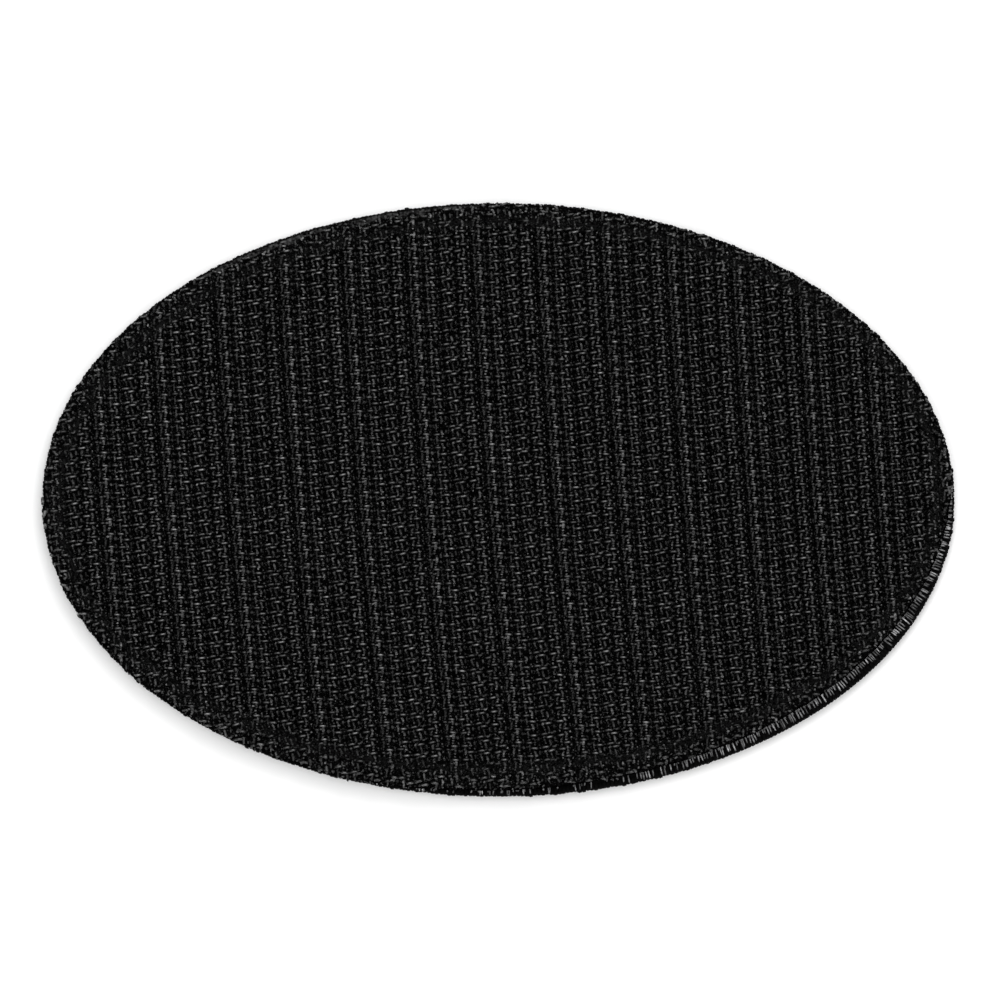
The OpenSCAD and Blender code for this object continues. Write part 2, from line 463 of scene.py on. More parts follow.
def thread_object(name, paths, half_widths, half_heights, sides, tones, across=None, pointed=False):
    """Threads joined in one mesh: paths is threads by rings by 3, and their ends are flat or pointed."""
    paths = np.asarray(paths, float)
    threads = len(paths)
    skin = thread_skin(paths, half_widths, half_heights, sides, across)
    steps = np.linalg.norm(np.diff(paths, axis=1), axis=-1)
    travel = np.concatenate([np.zeros((threads, 1)), np.cumsum(steps, axis=1)], axis=1) / MM
    if pointed:
        skin, travel = skin[:, 1:-1], travel[:, 1:-1]
    rings = skin.shape[1]
    size = rings * sides + (2 if pointed else 0)
    base = np.arange(threads)[:, None] * size
    wall = base[:, :, None] + grid_faces(rings, sides, closed_columns=True)
    groups = [wall.reshape(-1, 4)]
    shape = (threads, rings - 1, sides)
    near, far = (np.broadcast_to(part[..., None], shape) for part in (travel[:, :-1], travel[:, 1:]))
    left, right = (np.broadcast_to(np.arange(sides) + step, shape) / sides for step in (0, 1))
    uvs = [np.stack([left, near, right, near, right, far, left, far], axis=-1).reshape(-1, 2)]
    last = base + (rings - 1) * sides
    side = np.broadcast_to(np.arange(sides), (threads, sides))
    after = (side + 1) % sides
    if pointed:
        points = np.concatenate([skin.reshape(threads, -1, 3), paths[:, :1], paths[:, -1:]], axis=1)
        tip = base + rings * sides
        near_fan = np.stack([base + after, base + side, tip + 0 * side], axis=-1)
        far_fan = np.stack([last + side, last + after, tip + 1 + 0 * side], axis=-1)
        for fan, end in ((near_fan, 0), (far_fan, -1)):
            along = np.broadcast_to(travel[:, end, None], side.shape)
            groups.append(fan.reshape(-1, 3))
            uvs.append(np.repeat(np.stack([side / sides, along], axis=-1).reshape(-1, 2), 3, axis=0))
    else:
        points = skin
        groups += [base + side[:, ::-1], last + side]
        uvs.append(np.zeros((2 * threads * sides, 2)))
    tones = np.asarray(tones, float)
    point_tones = np.repeat(tones.ravel(), sides if tones.ndim == 2 else size)
    return new_object(name, points.reshape(-1, 3), groups, np.vstack(uvs), point_tones)


# Node groups and materials


def new_group(name, inputs, outputs):
    """Shader node group with named sockets: inputs are (name, type, default) and outputs (name, type)."""
    group = bpy.data.node_groups.new(name, "ShaderNodeTree")
    for label, kind, value in inputs:
        group.interface.new_socket(name=label, in_out="INPUT", socket_type=kind).default_value = value
    for label, kind in outputs:
        group.interface.new_socket(name=label, in_out="OUTPUT", socket_type=kind)
    return group, group.nodes.new("NodeGroupInput"), group.nodes.new("NodeGroupOutput")


def set_inputs(node, values):
    """Sets the named sockets of a node."""
    for label, value in values.items():
        node.inputs[label].default_value = value


def math_node(tree, operation, first, second=None, clamp=False):
    """Math node fed by sockets or plain numbers, which returns its output socket."""
    node = tree.nodes.new("ShaderNodeMath")
    node.operation = operation
    node.use_clamp = clamp
    for socket, value in zip(node.inputs, (first, second)):
        if value is None:
            continue
        if isinstance(value, bpy.types.NodeSocket):
            tree.links.new(value, socket)
        else:
            socket.default_value = value
    return node.outputs[0]


def vector_node(tree, operation, vector, socket, value):
    """Vector math node with its second value in a chosen socket, which returns its output socket."""
    node = tree.nodes.new("ShaderNodeVectorMath")
    node.operation = operation
    tree.links.new(vector, node.inputs[0])
    tree.links.new(value, node.inputs[socket])
    return node.outputs[0]


def noise_value(tree, scale, detail):
    """Noise over the surface, which returns its value socket."""
    place = tree.nodes.new("ShaderNodeTexCoord")
    noise = tree.nodes.new("ShaderNodeTexNoise")
    noise.inputs["Detail"].default_value = detail
    if isinstance(scale, bpy.types.NodeSocket):
        tree.links.new(scale, noise.inputs["Scale"])
    else:
        noise.inputs["Scale"].default_value = scale
    tree.links.new(place.outputs["Object"], noise.inputs["Vector"])
    return noise.outputs[0]


def add_relief(tree, shader, height, strength, distance):
    """Raises a shader's surface by the height in a socket."""
    relief = tree.nodes.new("ShaderNodeBump")
    set_inputs(relief, {"Strength": strength, "Distance": distance})
    tree.links.new(height, relief.inputs["Height"])
    tree.links.new(relief.outputs["Normal"], shader.inputs["Normal"])


def relief_group():
    """Relief of a thread: fine filaments that twist round it, and the lumps of its yarn."""
    name = "Thread relief"
    if name in bpy.data.node_groups:
        return bpy.data.node_groups[name]
    group, given, result = new_group(
        name,
        [
            ("Filaments", "NodeSocketFloat", 8.0),
            ("Twist", "NodeSocketFloat", 2.0),
            ("Ridge", "NodeSocketFloat", 0.01),
            ("Lump", "NodeSocketFloat", 0.04),
            ("Lump scale", "NodeSocketFloat", 4500.0),
        ],
        [("Height", "NodeSocketFloat")],
    )
    place = group.nodes.new("ShaderNodeUVMap")
    place.uv_map = "thread"
    split = group.nodes.new("ShaderNodeSeparateXYZ")
    group.links.new(place.outputs["UV"], split.inputs[0])
    around = math_node(group, "MULTIPLY", split.outputs["X"], given.outputs["Filaments"])
    along = math_node(group, "MULTIPLY", split.outputs["Y"], given.outputs["Twist"])
    turns = math_node(group, "ADD", around, along)
    wave = math_node(group, "SINE", math_node(group, "MULTIPLY", turns, 2 * math.pi))
    ridges = math_node(group, "MULTIPLY", wave, given.outputs["Ridge"])
    lump = noise_value(group, given.outputs["Lump scale"], 1.0)
    lumps = math_node(group, "MULTIPLY", lump, given.outputs["Lump"])
    group.links.new(math_node(group, "ADD", ridges, lumps), result.inputs["Height"])
    return group


def shade_group():
    """Uneven shade over the threads: broad patches, fine mottling, specks of stray fibre painted as glints,
    and each thread's own tone.
    """
    name = "Thread shade"
    if name in bpy.data.node_groups:
        return bpy.data.node_groups[name]
    group, given, result = new_group(
        name,
        [
            ("Colour", "NodeSocketColor", (0.02, 0.02, 0.02, 1.0)),
            ("Patches", "NodeSocketFloat", 0.3),
            ("Mottling", "NodeSocketFloat", 1.0),
            ("Specks", "NodeSocketFloat", 0.0),
        ],
        [("Colour", "NodeSocketColor"), ("Patches", "NodeSocketFloat"), ("Tone", "NodeSocketFloat")],
    )
    tone = group.nodes.new("ShaderNodeAttribute")
    tone.attribute_name = "tone"

    def swing(noise, middle, amount, gain):
        """Noise that swings round nought by an amount."""
        centred = math_node(group, "SUBTRACT", noise, middle)
        scaled = math_node(group, "MULTIPLY", centred, given.outputs[amount])
        return math_node(group, "MULTIPLY", scaled, gain)

    broad = noise_value(group, 260.0, 3.0)
    broad_swing = swing(broad, 0.5, "Patches", 2.0)
    fine_swing = swing(noise_value(group, 3800.0, 1.0), 0.48, "Mottling", 4.0)
    level = math_node(group, "ADD", math_node(group, "ADD", broad_swing, fine_swing), 1.0)
    toned = math_node(group, "MULTIPLY", math_node(group, "MAXIMUM", level, 0.05), tone.outputs["Fac"])
    shaded = vector_node(group, "SCALE", given.outputs["Colour"], "Scale", toned)
    # Specks: light stray fibres in the cloth, painted as glints in its colour
    speck = math_node(group, "SUBTRACT", noise_value(group, 7000.0, 1.0), 0.6)
    sharp = math_node(group, "MULTIPLY", speck, 6.0, clamp=True)
    specks = math_node(group, "MULTIPLY", sharp, given.outputs["Specks"])
    group.links.new(vector_node(group, "ADD", shaded, 1, specks), result.inputs["Colour"])
    group.links.new(broad, result.inputs["Patches"])
    group.links.new(toned, result.inputs["Tone"])
    return group


def start_material(name, colour, roughness, specular, patches, mottling, specks, gloss=0.0):
    """Material with an uneven shade, returned with its tree and shader. Its gloss is a clear skin that
    shines as strongly as the shade is light, so tones that paint shade or highlight also dim or brighten its
    shine."""
    material = bpy.data.materials.new(name)
    material.use_nodes = True
    tree = material.node_tree
    shader = tree.nodes["Principled BSDF"]
    shader.inputs["Specular IOR Level"].default_value = specular
    shade = tree.nodes.new("ShaderNodeGroup")
    shade.node_tree = shade_group()
    set_inputs(shade, {"Colour": colour, "Patches": patches, "Mottling": mottling, "Specks": specks})
    tree.links.new(shade.outputs["Colour"], shader.inputs["Base Color"])
    swing = math_node(tree, "MULTIPLY", math_node(tree, "SUBTRACT", shade.outputs["Patches"], 0.5), 0.3)
    tree.links.new(math_node(tree, "ADD", swing, roughness, clamp=True), shader.inputs["Roughness"])
    if gloss:
        set_inputs(shader, {"Coat Roughness": roughness, "Coat IOR": 2.0})
        skin = math_node(tree, "MULTIPLY", shade.outputs["Tone"], gloss, clamp=True)
        tree.links.new(skin, shader.inputs["Coat Weight"])
    return material, tree, shader


def thread_material(name, colour, roughness, specular, thread, shade):
    """Material of thread: thread is filaments, twist, ridge, lump and lump scale, and shade is patches,
    mottling, specks and gloss."""
    material, tree, shader = start_material(name, colour, roughness, specular, *shade)
    lines = tree.nodes.new("ShaderNodeGroup")
    lines.node_tree = relief_group()
    set_inputs(lines, dict(zip(("Filaments", "Twist", "Ridge", "Lump", "Lump scale"), thread)))
    add_relief(tree, shader, lines.outputs["Height"], 1.0, MM)
    return material


def cloth_material(name, colour, roughness, specular, pitch, angle, bump, shade):
    """Material of a cloth with ribs a pitch apart at an angle: shade is patches, mottling and specks."""
    material, tree, shader = start_material(name, colour, roughness, specular, *shade)
    place = tree.nodes.new("ShaderNodeTexCoord")
    turned = tree.nodes.new("ShaderNodeMapping")
    turned.inputs["Rotation"].default_value = (0, 0, angle)
    tree.links.new(place.outputs["Object"], turned.inputs["Vector"])
    split = tree.nodes.new("ShaderNodeSeparateXYZ")
    tree.links.new(turned.outputs[0], split.inputs[0])
    across, along = (
        math_node(tree, "SINE", math_node(tree, "MULTIPLY", split.outputs[axis], 2 * math.pi / pitch))
        for axis in "XY"
    )
    add_relief(tree, shader, math_node(tree, "MULTIPLY", across, along), bump, 0.1 * MM)
    return material


def dress(piece, material, slot, *nodes):
    """Gives a piece its material, lets it ride on the body and stand for the nodes it replaces; the slot is
    not used.
    """
    piece.data.materials.clear()
    piece.data.materials.append(material)
    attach(piece, BODY)
    if nodes:
        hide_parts(*nodes)
    return piece


# Pieces


class PATCH_OT_ground_cloth(bpy.types.Operator):
    """Ground cloth of the hook tape, pressed in along the seam and thinner at its cut edge"""

    bl_idname = "patch.ground_cloth"
    bl_label = "Ground cloth"

    sides = 288
    inner_rings = 8
    # How far the cloth's surface lies below the tops of its yarns, and how much further along the seam
    sink = 0.12 * MM
    seam_sink = 0.28 * MM
    # Rounding of its edge, and the unevenness of the cut
    rounding = 0.12 * MM
    ragged = 0.03 * MM
    # Paleness of the cloth that the seam lays bare, which lifts it out of the painted shade in its colour,
    # and the share of the oval that the cloth covers
    bared_tone = 3.2
    covered = 0.985
    # Height of the melted ribbon below the tops of the yarns, and its half thickness
    ribbon_drop = 0.24 * MM
    ribbon_half = 0.12 * MM

    def melted_edge(self, edge, material):
        """Ribbon along the tape's rim where the hot cut has run together, widest at the upper left."""
        count = 3 * self.sides
        rng = np.random.default_rng(RANDOM_SEED + 5)
        uneven = rng.normal(0, 1, (self.sides, 2))
        place = np.arange(count + 1) * self.sides / count
        coarse = np.column_stack([edge.places, edge.normals, uneven])
        coarse = np.vstack([coarse, coarse[:1]])
        fine = np.column_stack([np.interp(place, np.arange(self.sides + 1), column) for column in coarse.T])
        rim, square, uneven = fine[:, :2], unit(fine[:, 2:4]), fine[:, 4:]
        melted = melted_share(square[:, 0], square[:, 1])
        half = (0.05 + (0.21 + 0.09 * uneven[:, 0]) * melted) * MM
        flat = rim - square * (half + 0.01 * MM)[:, None]
        height = GROUND_TOP - self.ribbon_drop + (0.05 + 0.02 * uneven[:, 1]) * MM * melted
        tones = 0.02 + 0.98 * melted * rng.uniform(0.3, 1.7, count + 1)
        path = np.column_stack([flat, height])
        piece = thread_object("melted_edge", path[None], half[None], self.ribbon_half, 6, tones[None])
        return dress(piece, material, "hook_nylon")

    def cloth(self, edge, material):
        """Cloth inside its cut edge, flat underneath and pressed in along the seam on top."""
        top, bottom = GROUND_TOP - self.sink, tape_low.z
        middle = (top + bottom) / 2
        rings = [(0.0, bottom), (-0.02 * MM, middle), (0.0, top - self.rounding), (self.rounding, top)]
        rings += [(depth, top) for depth in np.arange(0.4, 4.2, 0.2) * MM]
        flats = [edge.places - edge.normals * depth for depth, _ in rings]
        flats += [flats[-1] * (1 - step / self.inner_rings) for step in range(1, self.inner_rings)]
        heights = [height for _, height in rings] + [top] * (self.inner_rings - 1)
        upper = np.vstack(
            [np.column_stack([flat, np.full(self.sides, height)]) for flat, height in zip(flats, heights)]
        )
        seam = np.abs(seam_distance(upper[:, 0], upper[:, 1]))
        pressed = self.seam_sink * (1 - smooth_step(seam, 0.1 * MM, 0.55 * MM))
        upper[:, 2] -= np.where(upper[:, 2] > middle, pressed, 0)
        points = np.vstack([upper, [[0, 0, top]], [[0, 0, bottom]]])
        side = np.arange(self.sides)
        after = (side + 1) % self.sides
        inner = (len(flats) - 1) * self.sides
        top_fan = np.stack([inner + side, inner + after, np.full(self.sides, len(upper))], axis=1)
        bottom_fan = np.stack([after, side, np.full(self.sides, len(upper) + 1)], axis=1)
        wall = grid_faces(len(flats), self.sides, closed_columns=True)
        # Painted shade stays in the cloth's colour under the hooks and yarns, and is lifted where the seam
        # lays it bare
        bared = (1 - free_share(points[:, 0], points[:, 1])) * (points[:, 2] > middle)
        tones = 1 + self.bared_tone * bared
        piece = new_object("tape_ground", points, [wall, top_fan, bottom_fan], tones=tones)
        return dress(piece, material, "hook_nylon", "hook_tape")

    def execute(self, context):
        colours = context.scene.patch_colours
        rim, normals = oval_edge(np.arange(self.sides) * 2 * math.pi / self.sides)
        rng = np.random.default_rng(RANDOM_SEED)
        inset = EDGE_INSET + bare_border(normals[:, 0], normals[:, 1])
        edge = Edge(rim - normals * (inset + rng.normal(0, self.ragged, self.sides))[:, None], normals)
        ground = cloth_material(
            "Tape ground", colours.ground, 1.0, 0.0, PICK_STEP, COLUMN_LEAN, 0.6, (0.3, 1.3, 0.03)
        )
        melted = thread_material(
            "Melted edge", colours.melted, 0.9, 0.0, (1, 0.8, 0.01, 0.1, 3000), (0.45, 1.75, 0.0)
        )
        piece = self.cloth(edge, ground)
        self.melted_edge(edge, melted)
        return {"FINISHED"}


class PATCH_OT_warp_yarns(bpy.types.Operator):
    """Yarns that run over the ground cloth between the hooks, in the weave's repeat"""

    bl_idname = "patch.warp_yarns"
    bl_label = "Warp yarns"

    run_rings, run_sides = 7, 5
    knot_rings, knot_sides = 4, 4
    # Least depth in from the cut, and the range of the gap round a needle's hole in millimetres
    least_depth = 0.03 * MM
    hole_gap = (0.1, 0.45)
    # How far a float sways, how much more beyond the seam, and how far its ends swing round there
    sway, loose_sway, loose_swing = 0.024, 0.03, 0.06 * MM
    # How deep a float's ends lie in the ground cloth, and how much deeper where the seam presses
    sunk, pressed = 0.16 * MM, 0.1 * MM
    # Ranges of the lift and the width as shares of the charted ones, and the spread and limit of the tone
    lifts, widths = (0.7, 1.2), (0.82, 1.12)
    tone_spread, palest = (-0.03, 0.36), 1.9

    def floats(self, row, rings, stitch_length, rng):
        """Paths, widths and tones of one charted float in every repeat of the tape."""
        columns, picks = repeat_corners()
        course = smooth_path(row.path, rings)
        x, y = weave_place(columns[:, None] + course[None, :, 0], picks[:, None] + course[None, :, 1])
        kept = (tape_depth(x, y) > self.least_depth).all(axis=1)
        hole = rng.uniform(*self.hole_gap, len(x)) * MM
        kept &= needle_distance(x.mean(axis=1), y.mean(axis=1), stitch_length) > hole
        x, y = x[kept], y[kept]
        count = len(x)
        share = np.linspace(0, 1, rings)
        middle_x, middle_y = x.mean(axis=1), y.mean(axis=1)
        free = free_share(middle_x, middle_y)
        loose = loose_share(middle_x, middle_y)[:, None]
        sway = (self.sway + self.loose_sway * loose) * MM
        swing = self.loose_swing * loose * np.linspace(-1, 1, rings)[None, :]
        x = x + rng.normal(0, 1, (count, 1)) * sway + rng.normal(0, 1, (count, 1)) * swing
        y = y + rng.normal(0, 1, (count, 1)) * sway + rng.normal(0, 1, (count, 1)) * swing
        arch = np.sin(math.pi * share) ** 0.6
        lift = row.lift * MM * (0.5 + 0.5 * free) * rng.uniform(*self.lifts, count)
        z = GROUND_TOP - self.sunk - self.pressed * (1 - free[:, None]) + lift[:, None] * arch[None, :]
        taper = 0.7 + 0.3 * np.sin(math.pi * share)
        half = row.width * MM / 2 * taper[None, :] * rng.uniform(*self.widths, (count, 1))
        _, normal_x, normal_y = edge_depth(middle_x, middle_y, HALF_LENGTH, HALF_WIDTH)
        tone = np.minimum(row.tone * rng.lognormal(*self.tone_spread, count), self.palest)
        tone = tone * (0.75 + 0.25 * free)
        tone = tone * (1 + (0.2 + 0.35 * melted_share(normal_x, normal_y)) * loose[:, 0])
        tone = tone * (YARN_PALENESS + PALENESS_RISE * middle_x / HALF_LENGTH)
        return np.stack([x, y, z], axis=-1), half, tone

    def execute(self, context):
        colours = context.scene.patch_colours
        rng = np.random.default_rng(RANDOM_SEED + 1)
        material = thread_material(
            "Warp yarn", colours.yarn, 0.55, 0.25, (1, 5.0, 0.02, 0.06, 4200), (0.25, 1.5, 0.0)
        )
        step = context.scene.patch_sizes.stitch_length
        runs = [self.floats(row, self.run_rings, step, rng) for row in FLOAT_CHART if len(row.path) > 2]
        knots = [self.floats(row, self.knot_rings, step, rng) for row in FLOAT_CHART if len(row.path) == 2]
        batches = (
            ("warp_runs_a", runs[::2], self.run_sides),
            ("warp_runs_b", runs[1::2], self.run_sides),
            ("warp_knots_a", knots[::2], self.knot_sides),
            ("warp_knots_b", knots[1::2], self.knot_sides),
        )
        for name, batch, sides in batches:
            paths, halves, tones = (np.concatenate(part) for part in zip(*batch))
            piece = thread_object(name, paths, halves, halves * 0.8, sides, tones, pointed=True)
            dress(piece, material, "hook_nylon")
        return {"FINISHED"}


class PATCH_OT_hooks(bpy.types.Operator):
    """Hooks of stiff single strand, which arch to the left and right of each row"""

    bl_idname = "patch.hooks"
    bl_label = "Hooks"

    sides = 5
    # Least depth in from the cut of a crown and of a foot, and the range of the gap round a needle's hole,
    # in millimetres
    crown_depth, foot_depth = 0.2 * MM, 0.1 * MM
    hole_gap = (0.25, 0.5)
    # Turn of the hooks in degrees: everywhere, more where the seam holds them and more beyond it
    turn, held_turn, loose_turn = 3, 11, 3
    # Sway of the crowns in millimetres: everywhere, more where the seam holds them and more beyond it
    sway, held_sway, loose_sway = 0.028, 0.12, 0.04
    # Ranges of the arch and the height as shares of the charted ones, of the share that the seam presses
    # down, and the spread of the tone
    arches, heights, presses = (0.95, 1.05), (0.94, 1.0), (0.35, 0.7)
    tone_spread = (-0.03, 0.25)

    def places(self, row, stitch_length, rng):
        """Crowns of one charted hook that the cut, the needle and wear have left, and their feet seen from
        the crowns."""
        columns, picks = repeat_corners()
        x, y = weave_place(columns + row.column, picks + row.pick)
        foot_x, foot_y = weave_place(columns + row.foot_column, picks + row.foot_pick)
        kept = (tape_depth(x, y) > self.crown_depth) & (tape_depth(foot_x, foot_y) > self.foot_depth)
        kept &= needle_distance(x, y, stitch_length) > rng.uniform(*self.hole_gap, len(x)) * MM
        kept &= rng.random(len(x)) < 0.4 + 0.58 * free_share(x, y)
        x, y = x[kept], y[kept]
        return x, y, np.stack([foot_x[kept] - x, foot_y[kept] - y], axis=1)

    def hooks(self, row, sizes, rng):
        """Paths, side directions and tones of one charted hook in every repeat of the tape."""
        x, y, foot = self.places(row, sizes.stitch_length, rng)
        count = len(x)
        free = free_share(x, y)
        loose = loose_share(x, y)
        spread = (1 - free) * self.held_turn + loose * self.loose_turn
        uneven = rng.normal(0, self.turn, count) + spread * rng.normal(0, 1, count)
        turn = ROW_RISE + np.radians(row.turn + uneven)
        along = -row.side * np.stack([np.cos(turn), np.sin(turn)], axis=1)
        over = np.stack([-np.sin(turn), np.cos(turn)], axis=1)
        arch = sizes.arch_radius * row.span * rng.uniform(*self.arches, count)
        press = 1 - (1 - free) * rng.uniform(*self.presses, count)
        full_height = HOOK_HEIGHT * row.height * rng.uniform(*self.heights, count)
        height = (full_height - sizes.strand / 2) * press
        # The profile's tones paint shade on the legs and a highlight on the crown, in colour and in gloss
        footing, reach, rise, drop, shade = np.asarray(HOOK_PROFILE).T
        sway = (self.sway + self.held_sway * (1 - free) + self.loose_sway * loose)[:, None] * MM
        sway = sway * rng.normal(0, 1, (count, 2))
        bend = row.bend * MM * np.exp(-((reach / 0.7) ** 2)) * (rise > 0.7)
        flat = (
            footing[None, :, None] * foot[:, None, :]
            + (reach[None, :, None] * arch[:, None, None]) * along[:, None, :]
            + bend[None, :, None] * over[:, None, :]
            + sway[:, None, :] * np.clip(rise, 0, 1)[None, :, None] ** 2
        )
        flat = flat + np.stack([x, y], axis=1)[:, None, :]
        fall = np.minimum(arch, 0.6 * height)
        z = GROUND_TOP + rise[None, :] * height[:, None] - drop[None, :] * fall[:, None]
        side = np.concatenate([over, np.zeros((count, 1))], axis=1)
        _, normal_x, normal_y = edge_depth(x, y, HALF_LENGTH, HALF_WIDTH)
        outside = (seam_distance(x, y) < 0) * bare_border(normal_x, normal_y) / BARE_WIDTH
        tone = row.tone * rng.lognormal(*self.tone_spread, count)
        tone = tone * (0.4 + 0.6 * free) * (1 - 0.5 * outside)
        # Painted highlight: the hooks' tone and gloss fall from the left end to the right
        tone = tone * (PAINTED_HOOK_HIGHLIGHT - HOOK_HIGHLIGHT_FALL * x / HALF_LENGTH)
        return np.dstack([flat, z]), side, tone[:, None] * shade[None, :]

    def execute(self, context):
        sizes = context.scene.patch_sizes
        colours = context.scene.patch_colours
        rng = np.random.default_rng(RANDOM_SEED + 2)
        material = thread_material(
            "Hook nylon", colours.nylon, 0.34, 0.15, (3, 0.4, 0.002, 0.03, 2600), (0.25, 0.8, 0.0, 0.53)
        )
        radius = sizes.strand / 2
        for first in range(0, len(HOOK_CHART), 2):
            batch = [self.hooks(row, sizes, rng) for row in HOOK_CHART[first : first + 2]]
            paths, sides, tones = (np.concatenate(part) for part in zip(*batch))
            name = f"hooks_{first // 2 + 1}"
            piece = thread_object(name, paths, radius, radius, self.sides, tones, across=sides)
            dress(piece, material, "hook_nylon")
        return {"FINISHED"}


class PATCH_OT_seam(bpy.types.Operator):
    """Seam that holds the tape to the patch, with one thread per stitch"""

    bl_idname = "patch.seam"
    bl_label = "Seam"

    sides = 6
    rings = 9
    thread = 0.26 * MM
    # Depth of a stitch's crown below the tops of the yarns, and how much deeper its ends lie
    crown_depth, end_dip = 0.46 * MM, 0.3 * MM
    # Unevenness of the crowns in height and to the side
    crown_sway, side_sway = 0.04 * MM, 0.05 * MM

    def execute(self, context):
        colours = context.scene.patch_colours
        rng = np.random.default_rng(RANDOM_SEED + 3)
        turns, travel = oval_travel(SEAM_HALF_LENGTH, SEAM_HALF_WIDTH)
        count = round(travel[-1] / context.scene.patch_sizes.stitch_length)
        share = np.linspace(0.02, 0.98, self.rings)
        rise = np.sin(math.pi * share)[None, :]
        stops = (np.arange(count)[:, None] + share[None, :]) * travel[-1] / count
        turn = np.interp(stops, travel, turns)
        sway = rng.normal(0, self.side_sway, (count, 1)) * rise
        along = (SEAM_HALF_LENGTH + sway) * np.cos(turn)
        across = (SEAM_HALF_WIDTH + sway) * np.sin(turn)
        place_x = along * math.cos(SEAM_TURN) - across * math.sin(SEAM_TURN)
        place_y = along * math.sin(SEAM_TURN) + across * math.cos(SEAM_TURN) + SEAM_SHIFT
        crown = GROUND_TOP - self.crown_depth + rng.normal(0, self.crown_sway, (count, 1))
        place_z = crown - self.end_dip * (1 - rise**0.5)
        paths = np.stack([place_x, place_y, place_z], axis=-1)
        material = thread_material(
            "Seam thread", colours.seam, 0.85, 0.1, (3, 2.2, 0.01, 0.0, 4000), (0.2, 0.3, 0.0)
        )
        half, tones = self.thread / 2, rng.uniform(0.8, 1.2, count)
        piece = thread_object("seam_stitches", paths, half, half, self.sides, tones)
        dress(piece, material, "border_thread")
        return {"FINISHED"}


